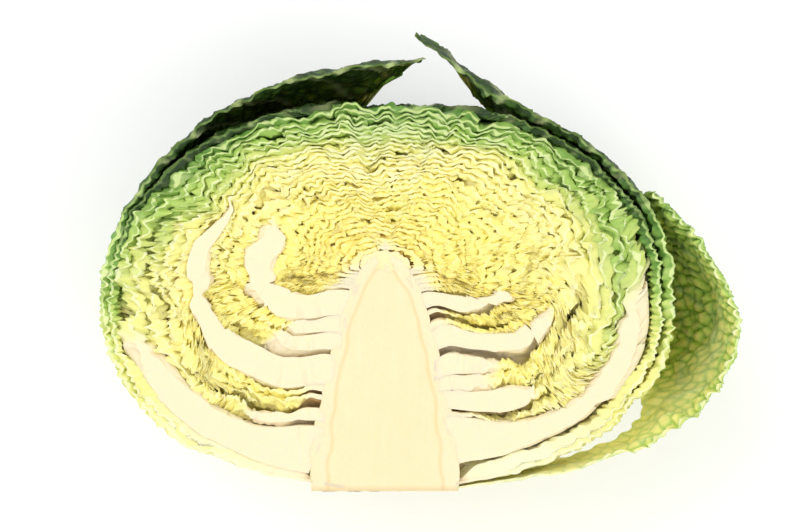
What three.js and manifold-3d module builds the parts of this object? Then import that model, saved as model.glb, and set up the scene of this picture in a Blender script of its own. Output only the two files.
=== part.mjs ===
// Half a savoy cabbage, cut from stem to tip and laid on its round back with the cut face up.
// The head is built as it grows: a tapered stalk carries leaves in a spiral of the golden angle, and each
// leaf wraps over the younger ones. A direction from the middle of the head meets the leaves one after
// another, and each takes its own share of the depth there, so that they nest without touching.
//
// Head frame, in millimetres: x to the right, y up the stalk from its cut end, z out of the cut face,
// which is the plane z = 0. The exported group moves that frame so that the part stands on z = 0.
import * as THREE from "three";
import { mergeVertices } from "three/addons/utils/BufferGeometryUtils.js";
import Module from "manifold-3d";

const wasm = await Module();
wasm.setup();

// ---- Driving dimensions ----
const HALF_WIDTH = 97; // of the head across the cut face, without its outer leaves
const DEPTH = 84; // from the cut face to the round back of the head
const CROWN = 71.5; // the head's height above its widest level
const SKIRT = 64; // its depth below that level
const HEART_HEIGHT = 81; // the growing point, above the stem's cut end
const WIDEST_HEIGHT = 67; // the head's widest level, above the stem's cut end
const SKIRT_CURVE = 2.2; // how late the lower leaves drop towards the stem
const ROUNDNESS = 2.2; // exponent of the outlines on the cut face above the widest level, 2 being an ellipse
const LOW_ROUNDNESS = [3.6, 2.1]; // the same below that level, from the heart to the head's outline
const BACK_ROUNDNESS = 2.6; // the same for its outline towards the back, which is flatter
const BUD_SHARE = 0.1; // the bud's size, as a share of the head's

const DEPTH_STEPS = 20; // steps in which the way out through the shells is measured
const BUD_STEPS = DEPTH_STEPS * BUD_SHARE;

const HEAD_LEAVES = 44;
const GOLDEN_ANGLE = 137.508; // degrees between one leaf's midrib and the next
const FIRST_MIDRIB = -10; // direction of the outermost head leaf's midrib: 0 right, 90 back, 180 left
const LEAF_SPREAD = 80; // half the angle that a leaf wraps round the head at its widest
const WIDEST_AT = 105; // where along a leaf that is, in degrees up from the stem
const SHORTEST_TIP = 162;
const LONGEST_TIP = 214; // past 180 a leaf folds over the top of the head
const MARGIN_RAMP = 10; // degrees over which its neighbours close up past a leaf's edge
const SQUEEZED = 0.12; // the share of its room that an absent leaf still holds between its neighbours
const SCRAP = 120; // cubic millimetres: smaller bits of leaves from the other half fall away

const BLADE = 0.9; // thickness of a leaf between its veins
const SMALL_MIDRIB = 3.2; // thickness of a large leaf's midrib at its foot, unless the table below says more
const OUTER_MIDRIB = 3.6; // the outer leaves have opened, and their midribs are flatter
const MIDRIB_HALF_WIDTH = 13;
const RIB_TAPER = 0.3; // the share of its thickness that a midrib loses on its way up
const RIB_END = [30, 80]; // degrees up from the stem over which a midrib runs out into the blade
const CLEARANCE = 0.32; // between any two pieces

// The stout midribs, which the knife has cut lengthwise, by leaf number.
const STOUT_MIDRIBS = {
  // direction, thickness, degrees up where it starts to run out and where it ends
  1: [96, 3.2, 30, 80],
  2: [180, 9, 62, 88],
  3: [4, 8.6, 88, 114],
  6: [-4, 7, 40, 60],
  12: [8, 3.6, 30, 46],
  14: [184, 9, 108, 138],
  16: [-2, 5, 66, 84],
  18: [176, 4, 30, 50],
  21: [188, 4, 30, 50],
  22: [40, 2.2, 30, 80],
  23: [183, 9, 106, 136],
  25: [2, 8, 70, 95],
};

// Points that the middles of the stoutest midribs pass on the cut face, from the stalk to their ends.
// The shells are bent so that these ribs follow their lines, and the others give way with them.
const RIB_LINES = {
  2: [[-23, 16], [-52, 20], [-70, 31], [-79, 41]],
  3: [[23, 21], [50, 22], [70, 29], [82, 43], [88, 60]],
  6: [[20, 32], [41, 32], [52, 34]],
  14: [[-20, 44], [-36, 43], [-58, 52], [-68, 70], [-66, 87], [-54, 101]],
  16: [[20, 57], [36, 54], [50, 55], [59, 62]],
  23: [[-14, 70], [-30, 67], [-43, 73], [-46, 83], [-38, 92]],
  25: [[16, 70], [30, 67], [43, 71]],
};
const LINE_POINTS = 9; // places along each line where the bend is set
const RUN_START = 15; // degrees up from the stem where the way along an unbent rib starts
const RUN_STEPS = 120; // steps on that way
const BEND_REACH = 15; // how far a bend is felt across the cut face
const BEND_DEPTH = 34; // and behind it
const BEND_STIFFNESS = 0.08;
const STILL_SKIN = [0.97, 1]; // the bend dies away over these sizes of shell, and the outline keeps its shape
const STILL_CROWN = 0.6; // the shell of this size stays where it is above the heart
const CROWN_REACH = 60; // degrees to either side of the top
const OUTLINE_REACH = 172.5;
const STILL_SPACING = 7.5; // degrees between the points that stay where they are
const STILL_TIPS = [84, 90, 98]; // heights over the stalk's tip that stay as well

// The net of directions on which the leaves are drawn. Leaves on one net never cross each other.
const NET_ROWS = [10, 19, 30, 43, 58, 76, 95, 114, 133, 151, 166]; // degrees up from the stem
const NET_COLUMNS = 8; // round the back, from the right of the cut face to the left
const SMALL_LEAF = 0.5; // leaves of this size and smaller are drawn with half the columns

const STALK_PROFILE = [
  // radius, height
  [26.5, 0],
  [27, 8],
  [26.4, 17],
  [23.6, 31],
  [20.5, 45],
  [17, 58],
  [13.2, 71],
  [9.5, 79],
  [5, 84],
];
const STALK_TIP = 86;
const REST_TRIM = 1.2; // the weight of the head presses its lowest rib flat by this much

// Outer leaves, from the innermost to the outermost. midrib: its direction, past 180 in the missing half.
// tip: how far up the leaf goes. lift: how far its end bends off the head, and where along it that starts.
const OUTER_LEAVES = [
  { name: "outer_leaf_back_left", midrib: 128, tip: 170, spread: 78 },
  { name: "outer_leaf_back_right", midrib: 47, tip: 166, spread: 78 },
  { name: "outer_leaf_left", midrib: 196, tip: 188, spread: 80, lift: { by: 17, from: 118, bend: 1.4 } },
  { name: "outer_leaf_top_right", midrib: -20, tip: 176, spread: 74, lift: { by: 26, from: 128, bend: 3.5 } },
  { name: "outer_leaf_back", midrib: 92, tip: 148, spread: 74 },
];
const OUTER_SLOT = 1.3; // room between one outer leaf and the next, besides their thickness

// The loose leaf at the right stands off the head, and the knife has cut it lengthwise.
const LOOSE_LEAF = [
  // degrees up from the stem, degrees round the back to its margin, distance off the head
  [14, 20, 0.3],
  [24, 30, 1],
  [34, 22, 3.5],
  [44, 14, 9],
  [53, 12, 14],
  [62, 16, 18.5],
  [72, 34, 22],
  [83, 52, 22.5],
  [94, 59, 18],
  [104, 54, 11.5],
  [113, 40, 4.5],
  [120, 22, 1.2],
];
const LOOSE_COLUMNS = 6;
const LOOSE_CLOSING = [24, 85]; // degrees round the back where it comes home to the head: at its foot, above
const FOOT_CROWDING = 0.3; // how much the outer leaves close up where their feet meet the stalk

const degrees = THREE.MathUtils.degToRad;
const clamp = THREE.MathUtils.clamp;
const lerp = THREE.MathUtils.lerp;
const smooth = (x, from, to) => THREE.MathUtils.smoothstep(x, from, to);
const chance = (n, k) => {
  const x = Math.sin(n * 12.9898 + k * 78.233) * 43758.5453;
  return x - Math.floor(x);
};

// ---- The leaves' own facts ----
function headLeaf(n) {
  const size = 1 - ((1 - BUD_SHARE) * (n + 0.5)) / HEAD_LEAVES;
  const usual = [FIRST_MIDRIB + n * GOLDEN_ANGLE, SMALL_MIDRIB * lerp(0.3, 1, size), ...RIB_END];
  const [midrib, ribThickness, runsOut, ends] = STOUT_MIDRIBS[n + 1] || usual;
  return {
    name: "head_leaf_" + String(n + 1).padStart(2, "0"),
    midrib: degrees(midrib),
    tip: degrees(lerp(SHORTEST_TIP, LONGEST_TIP, chance(n, 1))),
    spread: degrees(LEAF_SPREAD),
    size,
    ribThickness,
    ribEnd: [degrees(runsOut), degrees(ends)],
  };
}

function outerLeaf(facts) {
  const lift = facts.lift || { by: 0, from: 0, bend: 1 };
  return {
    name: facts.name,
    midrib: degrees(facts.midrib),
    tip: degrees(facts.tip),
    spread: degrees(facts.spread),
    size: 1,
    ribThickness: OUTER_MIDRIB,
    ribEnd: [degrees(55), degrees(145)],
    lift: { by: lift.by, from: degrees(lift.from), bend: lift.bend },
  };
}

const headLeaves = Array.from({ length: HEAD_LEAVES }, (_, n) => headLeaf(n)); // outermost first
const outerLeaves = OUTER_LEAVES.map(outerLeaf); // innermost first
const looseLeaf = { name: "outer_leaf_loose", size: 1 };

// ---- Directions ----
// A unit vector that points so far up from the stem, and so far round the back from the right.
function direction(up, round) {
  return new THREE.Vector3(
    Math.cos(round) * Math.sin(up),
    -Math.cos(up),
    -Math.abs(Math.sin(round) * Math.sin(up)),
  );
}

// The same direction in a leaf's own angles: along runs up its midrib from the stem (0) over the top
// (pi), across to its side.
function leafAngles(leaf, d) {
  const c = Math.cos(leaf.midrib);
  const s = Math.sin(leaf.midrib);
  const across = Math.asin(clamp(-d.x * s - d.z * c, -1, 1));
  let along = Math.atan2(d.x * c - d.z * s, -d.y);
  if (along < -degrees(60)) along += 2 * Math.PI;
  return { along, across };
}

// Half the leaf's width, as an angle, at a place along it: a narrow foot, broad shoulders, a round tip.
function halfSpread(leaf, along) {
  const rise = Math.sin(clamp(along / degrees(75), 0, 1) * (Math.PI / 2)) ** 1.5;
  const past = clamp((along - degrees(WIDEST_AT)) / (leaf.tip - degrees(WIDEST_AT)), 0, 1);
  return leaf.spread * rise * Math.sqrt(1 - past * past);
}

// How far inside its edge the leaf lies in this direction, as an angle; negative past the edge.
function insideBy(leaf, along, across) {
  return Math.min(halfSpread(leaf, along) - Math.abs(across), leaf.tip - along);
}

// The share of its room that the leaf takes in this direction: 1 on the leaf, less past its edge.
function coverage(leaf, along, across) {
  return lerp(SQUEEZED, 1, smooth(insideBy(leaf, along, across), -degrees(MARGIN_RAMP), 0));
}

function thickness(leaf, along, across) {
  const taper = 1 - RIB_TAPER * smooth(along, degrees(30), degrees(100));
  const fade = smooth(along, degrees(-5), degrees(5)) * taper * (1 - smooth(along, ...leaf.ribEnd));
  const halfWidth = MIDRIB_HALF_WIDTH * (0.4 + 0.6 * fade) * lerp(0.45, 1, leaf.size);
  const sideways = (HALF_WIDTH * leaf.size * across) / halfWidth;
  return BLADE * lerp(0.8, 1, leaf.size) + leaf.ribThickness * fade * Math.exp(-sideways * sideways);
}

// ---- The head's nested shells ----
// The point of the shell of a given size (1 is the head's outline) in direction d.
function shellPoint(size, d) {
  const round = d.y < 0 ? lerp(...LOW_ROUNDNESS, size * size) : ROUNDNESS;
  const onFace = (Math.abs(d.x) ** round + Math.abs(d.y) ** round) ** (BACK_ROUNDNESS / round);
  const reach = (onFace + Math.abs(d.z) ** BACK_ROUNDNESS) ** (-1 / BACK_ROUNDNESS);
  const middle = lerp(HEART_HEIGHT, WIDEST_HEIGHT, size);
  const tall = d.y > 0 ? CROWN * size : SKIRT * Math.max(size, 0) ** SKIRT_CURVE;
  return new THREE.Vector3(
    HALF_WIDTH * size * reach * d.x,
    middle + tall * reach * d.y,
    DEPTH * size * reach * d.z,
  );
}

// How far out the shells lie in direction d, from the growing point to the head's outline.
function shellDepths(d) {
  const points = Array.from({ length: DEPTH_STEPS + 1 }, (_, i) => shellPoint(i / DEPTH_STEPS, d));
  const depths = [0];
  for (let i = 1; i <= DEPTH_STEPS; i++) depths.push(depths[i - 1] + points[i].distanceTo(points[i - 1]));
  return depths;
}

// The size of the shell that lies so far out.
function sizeAtDepth(depths, depth) {
  const i = clamp(depths.findIndex((d) => d >= depth), 1, DEPTH_STEPS);
  return (i - (depths[i] - depth) / (depths[i] - depths[i - 1])) / DEPTH_STEPS;
}

// Where each head leaf lies in direction d, as the shell sizes of its inner and outer faces.
function headStack(d) {
  const depths = shellDepths(d);
  const layers = headLeaves.map((leaf) => {
    const { along, across } = leafAngles(leaf, d);
    return { cover: coverage(leaf, along, across), thick: thickness(leaf, along, across) };
  });
  const room = depths[DEPTH_STEPS] - depths[BUD_STEPS];
  const solid = layers.reduce((sum, l) => sum + l.cover * l.thick, 0);
  const squeeze = Math.min(1, (0.62 * room) / solid);
  const layersHere = layers.reduce((sum, l) => sum + l.cover, 0);
  const gap = (room - solid * squeeze) / layersHere;
  let outside = depths[DEPTH_STEPS];
  return layers.map((l) => {
    const slot = l.cover * (l.thick * squeeze + gap);
    const middle = outside - slot / 2;
    outside -= slot;
    const half = 0.5 * l.cover * l.thick * squeeze;
    return [sizeAtDepth(depths, middle - half), sizeAtDepth(depths, middle + half)];
  });
}

// ---- The bend that brings the stout ribs onto their lines ----
function stalkRadius(height) {
  const above = STALK_PROFILE.findIndex(([, level]) => level >= height);
  if (above < 1) return above ? 0 : STALK_PROFILE[0][0];
  const [[lowRadius, low], [highRadius, high]] = STALK_PROFILE.slice(above - 1, above + 1);
  return lerp(lowRadius, highRadius, (height - low) / (high - low));
}

// The run of an unbent rib's middle on the cut face, from where it leaves the stalk.
function ribRun(leaf) {
  const n = headLeaves.indexOf(leaf);
  const end = (leaf.ribEnd[0] + leaf.ribEnd[1]) / 2;
  const run = [];
  for (let k = 0; k < RUN_STEPS; k++) {
    const up = lerp(degrees(RUN_START), end, k / (RUN_STEPS - 1));
    const d = direction(up, Math.cos(leaf.midrib) > 0 ? 0 : Math.PI);
    const [inner, outer] = headStack(d)[n];
    const { x, y } = shellPoint((inner + outer) / 2, d);
    if (Math.abs(x) > stalkRadius(y)) run.push(new THREE.Vector2(x, y));
  }
  return run;
}

// Points spaced evenly along a smooth line.
function evenly(line) {
  return new THREE.SplineCurve(line).getSpacedPoints(LINE_POINTS - 1);
}

// Solves a set of linear equations by elimination; their right sides are vectors.
function solve(rows, right) {
  for (let i = 0; i < rows.length; i++) {
    for (let j = i + 1; j < rows.length; j++) {
      const share = rows[j][i] / rows[i][i];
      for (let k = i; k < rows.length; k++) rows[j][k] -= share * rows[i][k];
      right[j].addScaledVector(right[i], -share);
    }
  }
  for (let i = rows.length - 1; i >= 0; i--) {
    for (let k = i + 1; k < rows.length; k++) right[i].addScaledVector(right[k], -rows[i][k]);
    right[i].divideScalar(rows[i][i]);
  }
  return right;
}

// How much of a push at one place is felt at another.
function pull(from, to) {
  return Math.exp(-((from.distanceTo(to) / BEND_REACH) ** 2));
}

// Points of a shell on the cut face, so far to either side of the top.
function stillPoints(size, reach) {
  const points = [];
  for (let side = -reach; side <= reach; side += STILL_SPACING) {
    const { x, y } = shellPoint(size, new THREE.Vector3(Math.sin(degrees(side)), Math.cos(degrees(side)), 0));
    points.push(new THREE.Vector2(x, y));
  }
  return points;
}

// Places on the cut face, and how strongly each pushes its surroundings.
function makeBend() {
  const places = [];
  const moves = [];
  Object.entries(RIB_LINES).forEach(([number, line]) => {
    const from = evenly(ribRun(headLeaves[number - 1]));
    const to = evenly(line.map(([x, y]) => new THREE.Vector2(x, y)));
    places.push(...from);
    moves.push(...to.map((point, k) => point.clone().sub(from[k])));
  });
  const tips = STILL_TIPS.map((height) => new THREE.Vector2(0, height));
  const still = [...stillPoints(1, OUTLINE_REACH), ...stillPoints(STILL_CROWN, CROWN_REACH), ...tips];
  places.push(...still);
  moves.push(...still.map(() => new THREE.Vector2()));
  const rows = places.map((a, i) => places.map((b, j) => pull(a, b) + (i === j ? BEND_STIFFNESS : 0)));
  return { places, pushes: solve(rows, moves) };
}

const bend = makeBend();

// The point of a shell in direction d after the bend.
function bentShellPoint(size, d) {
  const point = shellPoint(size, d);
  const here = new THREE.Vector2(point.x, point.y);
  const fade = Math.exp(-((point.z / BEND_DEPTH) ** 2)) * (1 - smooth(size, ...STILL_SKIN));
  bend.places.forEach((place, k) => {
    const share = pull(here, place) * fade;
    point.x += bend.pushes[k].x * share;
    point.y += bend.pushes[k].y * share;
  });
  return point;
}

// ---- The outer leaves' room ----
// How far a leaf's end bends off the head, which is less towards the back.
function ownLift(leaf, along, d) {
  const { by, from, bend } = leaf.lift;
  return by * clamp((along - from) / (leaf.tip - from), 0, 1) ** bend * (1 - 0.8 * smooth(-d.z, 0.05, 0.8));
}

// How far each outer leaf's two faces lie off the head in direction d, in millimetres, and the room
// outside them all.
function outerStack(d) {
  const up = Math.acos(clamp(-d.y, -1, 1));
  const crowd = lerp(FOOT_CROWDING, 1, smooth(up, degrees(12), degrees(50)));
  let base = 0.8;
  let lift = 0;
  const offsets = outerLeaves.map((leaf) => {
    const { along, across } = leafAngles(leaf, d);
    const cover = coverage(leaf, along, across);
    const thick = cover * thickness(leaf, along, across);
    const gap = cover * OUTER_SLOT;
    lift = Math.max(lift, cover * ownLift(leaf, along, d));
    const inner = crowd * (base + gap / 2) + lift;
    base += thick + gap;
    return [inner, inner + crowd * thick];
  });
  return { offsets, outside: crowd * base + lift };
}

// ---- Nets ----
// A knot holds its direction's points on the two faces of each leaf, and how far inside each it is.
function netKnot(up, round) {
  const d = direction(degrees(up), round);
  const skin = shellPoint(1, d);
  const outwards = skin.clone().sub(new THREE.Vector3(0, WIDEST_HEIGHT, 0)).normalize();
  const faces = new Map();
  headStack(d).forEach((sizes, n) => {
    faces.set(headLeaves[n], sizes.map((size) => bentShellPoint(size, d)));
  });
  outerStack(d).offsets.forEach((offsets, n) => {
    faces.set(outerLeaves[n], offsets.map((offset) => skin.clone().addScaledVector(outwards, offset)));
  });
  const inside = new Map();
  [...headLeaves, ...outerLeaves].forEach((leaf) => {
    const { along, across } = leafAngles(leaf, d);
    inside.set(leaf, insideBy(leaf, along, across));
  });
  return { id: up + ":" + round.toFixed(6), faces, inside };
}

// A knot of the loose leaf's own net, which covers that leaf and nothing else.
function looseKnot([up, margin, standOff], column) {
  const round = (degrees(margin) * column) / LOOSE_COLUMNS;
  const d = direction(degrees(up), round);
  const skin = shellPoint(1, d);
  const outwards = skin.clone().sub(new THREE.Vector3(0, WIDEST_HEIGHT, 0)).normalize();
  const closing = degrees(lerp(...LOOSE_CLOSING, smooth(up, 60, 88)));
  const inner = outerStack(d).outside + standOff * (1 - smooth(round, 0, closing));
  const faces = [inner, inner + BLADE].map((offset) => skin.clone().addScaledVector(outwards, offset));
  return { id: up + ":" + column, faces: new Map([[looseLeaf, faces]]), inside: new Map([[looseLeaf, 1]]) };
}

// Rows of knots joined into triangles, and closed with a fan over the pole if there is one.
function netTriangles(rows, pole) {
  const triangles = [];
  rows.forEach((row, i) => {
    const above = rows[i + 1];
    for (let j = 0; j + 1 < row.length; j++) {
      if (!above && pole) {
        triangles.push([row[j], row[j + 1], pole]);
      } else if (above && (i + j) % 2) {
        triangles.push([row[j], row[j + 1], above[j + 1]], [row[j], above[j + 1], above[j]]);
      } else if (above) {
        triangles.push([row[j], row[j + 1], above[j]], [row[j + 1], above[j + 1], above[j]]);
      }
    }
  });
  return triangles;
}

function headNet(columns) {
  const rounds = Array.from({ length: columns + 1 }, (_, column) => (Math.PI * column) / columns);
  const rows = NET_ROWS.map((up) => rounds.map((round) => netKnot(up, round)));
  return netTriangles(rows, netKnot(180, 0));
}

function looseNet() {
  const columns = Array.from({ length: LOOSE_COLUMNS + 1 }, (_, column) => column);
  return netTriangles(LOOSE_LEAF.map((facts) => columns.map((column) => looseKnot(facts, column))));
}

// ---- Solids ----
function solidOf(geometry) {
  const bare = geometry.clone();
  bare.deleteAttribute("normal");
  bare.deleteAttribute("uv");
  const merged = mergeVertices(bare, 1e-4);
  return new wasm.Manifold(
    new wasm.Mesh({
      numProp: 3,
      vertProperties: merged.attributes.position.array,
      triVerts: new Uint32Array(merged.index.array),
    }),
  );
}

function geometryOf(solid) {
  const { vertProperties, triVerts } = solid.getMesh();
  return new THREE.BufferGeometry()
    .setAttribute("position", new THREE.BufferAttribute(vertProperties, 3))
    .setIndex(new THREE.BufferAttribute(triVerts, 1));
}

function box(width, height, depth, x, y, z) {
  return solidOf(new THREE.BoxGeometry(width, height, depth).toNonIndexed().translate(x, y, z));
}

function largest(solid) {
  return solid.decompose().reduce((most, body) => (body.volume() > most.volume() ? body : most));
}

// A point of a leaf: a knot of the net, or the place between two knots where the leaf's edge crosses.
function leafPoint(leaf, from, to) {
  if (!to) return { id: from.id, inner: from.faces.get(leaf)[0], outer: from.faces.get(leaf)[1] };
  if (from.id > to.id) return leafPoint(leaf, to, from);
  const share = from.inside.get(leaf) / (from.inside.get(leaf) - to.inside.get(leaf));
  const ends = to.faces.get(leaf);
  const [inner, outer] = from.faces.get(leaf).map((point, k) => point.clone().lerp(ends[k], share));
  return { id: from.id + "/" + to.id, inner, outer };
}

// The part of one triangle of the net that the leaf covers, as a polygon of leaf points.
function coveredPart(leaf, triangle) {
  const corners = [];
  triangle.forEach((knot, k) => {
    const next = triangle[(k + 1) % 3];
    const here = knot.inside.get(leaf) > 0;
    if (here) corners.push(leafPoint(leaf, knot));
    if (here !== next.inside.get(leaf) > 0) corners.push(leafPoint(leaf, knot, next));
  });
  return corners;
}

// A leaf as a closed sheet: its outer face, its inner face, and a rim along every edge used only once.
function leafSheet(leaf, net) {
  const positions = [];
  const face = (...points) => points.forEach((point) => positions.push(...point.toArray()));
  const edges = new Map();
  net.forEach((triangle) => {
    const corners = coveredPart(leaf, triangle);
    for (let k = 2; k < corners.length; k++) {
      const [a, b, c] = [corners[0], corners[k - 1], corners[k]];
      face(a.outer, b.outer, c.outer);
      face(a.inner, c.inner, b.inner);
    }
    corners.forEach((from, k) => {
      const to = corners[(k + 1) % corners.length];
      if (!edges.delete(to.id + ">" + from.id)) edges.set(from.id + ">" + to.id, [from, to]);
    });
  });
  edges.forEach(([from, to]) => {
    face(from.inner, to.inner, to.outer);
    face(from.inner, to.outer, from.outer);
  });
  const geometry = new THREE.BufferGeometry();
  geometry.setAttribute("position", new THREE.Float32BufferAttribute(positions, 3));
  return solidOf(geometry);
}

function stalk(grow) {
  const outline = [new THREE.Vector2(0, -grow)];
  STALK_PROFILE.forEach(([radius, height], k) => {
    outline.push(new THREE.Vector2(radius + grow, k ? height : -grow));
  });
  outline.push(new THREE.Vector2(0, STALK_TIP + grow));
  return solidOf(new THREE.LatheGeometry(outline, 24));
}

// The bud: the youngest leaves, still closed round the growing point.
function bud(grow) {
  const ball = new THREE.SphereGeometry(1, 16, 10);
  const place = ball.attributes.position;
  for (let i = 0; i < place.count; i++) {
    const d = new THREE.Vector3().fromBufferAttribute(place, i).normalize();
    const p = shellPoint(BUD_SHARE * 0.93, d);
    const outwards = d.clone().multiplyScalar(grow);
    place.setXYZ(i, p.x + outwards.x, p.y + outwards.y, p.z + outwards.z);
  }
  return solidOf(ball);
}

// ---- Assembly ----
const FRONT = box(400, 400, 200, 0, 70, 100); // all that the knife takes away
const stalkRoom = stalk(CLEARANCE);
const budRoom = bud(CLEARANCE);

const wideNet = headNet(NET_COLUMNS / 2);
const fineNet = headNet(NET_COLUMNS);
const leaves = [looseLeaf, ...[...outerLeaves].reverse(), ...headLeaves]; // outermost first

function netFor(leaf) {
  if (leaf === looseLeaf) return looseNet();
  return leaf.size > SMALL_LEAF ? fineNet : wideNet;
}

const pieces = new Map();
pieces.set("stalk", stalk(0).subtract(FRONT));
pieces.set("bud", bud(0).subtract(stalkRoom).subtract(FRONT));
leaves.forEach((leaf) => {
  const solid = leafSheet(leaf, netFor(leaf)).subtract(stalkRoom).subtract(budRoom);
  if (solid.isEmpty()) return;
  const piece = largest(solid);
  if (piece.volume() > SCRAP * leaf.size) pieces.set(leaf.name, piece);
});

// The lowest rib is pressed flat where the head rests on it.
const lowest = Math.min(...[...pieces.values()].map((solid) => solid.boundingBox().min[2]));
const restLevel = lowest + REST_TRIM;
const table = box(400, 400, 50, 0, 70, restLevel - 25);
outerLeaves.forEach((leaf) => pieces.set(leaf.name, largest(pieces.get(leaf.name).subtract(table))));

// ---- Materials ----
const GREEN = new THREE.Color(0x3f6b1f);
const PALE_GREEN = new THREE.Color(0xa9c46a);
const YELLOW = new THREE.Color(0xf0dc78);
const CREAM = new THREE.Color(0xfbf0cc);

function leafColour(leaf) {
  if (leaf.size === 1) return GREEN;
  return leaf.size > 0.75
    ? PALE_GREEN.clone().lerp(GREEN, (leaf.size - 0.75) * 2)
    : YELLOW.clone().lerp(PALE_GREEN, clamp((leaf.size - 0.45) / 0.3, 0, 1));
}

function pieceMesh(name, colour) {
  const material = new THREE.MeshStandardMaterial({ color: colour, roughness: 0.55, metalness: 0 });
  const mesh = new THREE.Mesh(geometryOf(pieces.get(name)), material);
  mesh.name = name;
  return mesh;
}

const cabbage = new THREE.Group();
cabbage.add(pieceMesh("stalk", CREAM), pieceMesh("bud", YELLOW));
leaves
  .filter((leaf) => pieces.has(leaf.name))
  .forEach((leaf) => cabbage.add(pieceMesh(leaf.name, leafColour(leaf))));

// The part's own frame: the middle of its bounding box in x and y, and the surface it rests on at z = 0.
const bounds = new THREE.Box3().setFromObject(cabbage);
const middle = bounds.getCenter(new THREE.Vector3());
cabbage.position.set(-middle.x, -middle.y, -bounds.min.z);

export default cabbage;
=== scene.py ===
import math
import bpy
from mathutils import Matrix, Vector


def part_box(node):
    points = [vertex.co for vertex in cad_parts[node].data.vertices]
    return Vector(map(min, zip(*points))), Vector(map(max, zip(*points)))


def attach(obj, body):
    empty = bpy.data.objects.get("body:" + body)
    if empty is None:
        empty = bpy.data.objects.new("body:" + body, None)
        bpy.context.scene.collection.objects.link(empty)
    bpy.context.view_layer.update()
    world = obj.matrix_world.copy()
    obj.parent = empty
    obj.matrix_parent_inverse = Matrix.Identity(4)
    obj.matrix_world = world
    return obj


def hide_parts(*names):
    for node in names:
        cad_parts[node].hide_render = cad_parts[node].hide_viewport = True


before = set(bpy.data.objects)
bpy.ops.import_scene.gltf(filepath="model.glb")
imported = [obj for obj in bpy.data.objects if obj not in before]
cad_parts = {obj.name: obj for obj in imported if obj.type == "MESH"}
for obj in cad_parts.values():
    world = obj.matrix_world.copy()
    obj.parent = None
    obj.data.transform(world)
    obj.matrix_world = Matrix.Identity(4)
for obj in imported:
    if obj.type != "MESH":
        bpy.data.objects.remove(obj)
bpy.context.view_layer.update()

from types import SimpleNamespace

import bmesh
import bpy
import numpy as np
from mathutils import Vector

# Half a savoy cabbage. Every leaf is grown again over its plain CAD sheet: thin, crinkled and blistered,
# with a midrib and side veins, then cut by the plane of the cut face, as the knife did.
# Head frame, in millimetres: x right, y up the stalk from its cut end, z out of the cut face (z = 0).

stalk_low, stalk_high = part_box("stalk")
ORIGIN = np.array([(stalk_low.x + stalk_high.x) / 2, stalk_low.y, stalk_high.z])
MM = 0.001
TAU = 2 * math.pi

# ---- The head's own measures ----
# They follow the part's. A few differ for the look: five head leaves have thicker midribs, plain midribs
# end earlier, leaves are squeezed less, and two outer leaves have ends of their own.
HALF_WIDTH, DEPTH, CROWN, SKIRT = 97.0, 84.0, 71.5, 64.0
HEART_HEIGHT, WIDEST_HEIGHT = 81.0, 67.0
SKIRT_CURVE, ROUNDNESS, BACK_ROUNDNESS, BUD_SHARE = 2.2, 2.2, 2.6, 0.1
LOW_ROUNDNESS = (3.6, 2.1)
HEAD_LEAVES = 44
GOLDEN_ANGLE, FIRST_MIDRIB = 137.508, -10.0
LEAF_SPREAD, WIDEST_AT = 80.0, 105.0
SHORTEST_TIP, LONGEST_TIP = 162.0, 214.0
MARGIN_RAMP, SQUEEZED = 10.0, 0.12
BLADE, SMALL_MIDRIB, OUTER_MIDRIB, MIDRIB_HALF_WIDTH = 0.9, 3.2, 3.6, 13.0
RIB_TAPER, RIB_END, OUTER_RIB_END = 0.3, (22, 60), (55, 145)
DEPTH_STEPS = 20
MOST_FILLED = 0.8  # the share of the head's depth that leaves may take up
STOUT_MIDRIBS = {
    # direction, thickness, degrees up where it starts to run out and where it ends
    1: (96, 3.2, 30, 80),
    2: (180, 9, 62, 88),
    3: (4, 9, 88, 114),
    6: (-4, 8, 40, 60),
    12: (8, 3.6, 30, 46),
    14: (184, 10.5, 108, 138),
    16: (-2, 5, 66, 84),
    18: (176, 4, 30, 50),
    21: (188, 4, 30, 50),
    22: (40, 2.2, 30, 80),
    23: (183, 11.5, 106, 136),
    25: (2, 9.5, 70, 95),
}
# Points, in millimetres right and up, that the middles of the stoutest midribs pass on the cut face,
# from the stalk to their ends.
RIB_LINES = {
    2: [(-23, 16), (-52, 20), (-70, 31), (-79, 41)],
    3: [(23, 21), (50, 22), (70, 29), (82, 43), (88, 60)],
    6: [(20, 32), (41, 32), (52, 34)],
    14: [(-20, 44), (-36, 43), (-58, 52), (-68, 70), (-66, 87), (-54, 101)],
    16: [(20, 57), (36, 54), (50, 55), (59, 62)],
    23: [(-14, 70), (-30, 67), (-43, 73), (-46, 83), (-38, 92)],
    25: [(16, 70), (30, 67), (43, 71)],
}
LINE_POINTS, RUN_START, RUN_STEPS = 9, 15.0, 120
BEND_REACH, BEND_DEPTH, BEND_STIFFNESS = 15.0, 34.0, 0.08
STILL_CROWN, CROWN_REACH, OUTLINE_REACH, STILL_SPACING = 0.6, 60.0, 172.5, 7.5
STILL_TIPS = (84, 90, 98)
# The bend is kept on a grid over the cut face.
GRID_LEFT, GRID_RIGHT, GRID_LOW, GRID_HIGH, GRID_STEP = -116.0, 116.0, -30.0, 170.0, 2.0
OUTER_SLOT, FOOT_CROWDING = 1.3, 0.3
STALK_PROFILE = np.array(
    [
        # radius, height
        [26.5, 0],
        [27, 8],
        [26.4, 17],
        [23.6, 31],
        [20.5, 45],
        [17, 58],
        [13.2, 71],
        [9.5, 79],
        [5, 84],
        [0, 86],
    ],
    float,
)
STALK_HEIGHT = 86.0


def rad(degrees):
    return np.radians(degrees)


def smooth(x, low, high):
    t = np.clip((x - low) / (high - low), 0, 1)
    return t * t * (3 - 2 * t)


def lerp(a, b, t):
    return a + (b - a) * t


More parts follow.
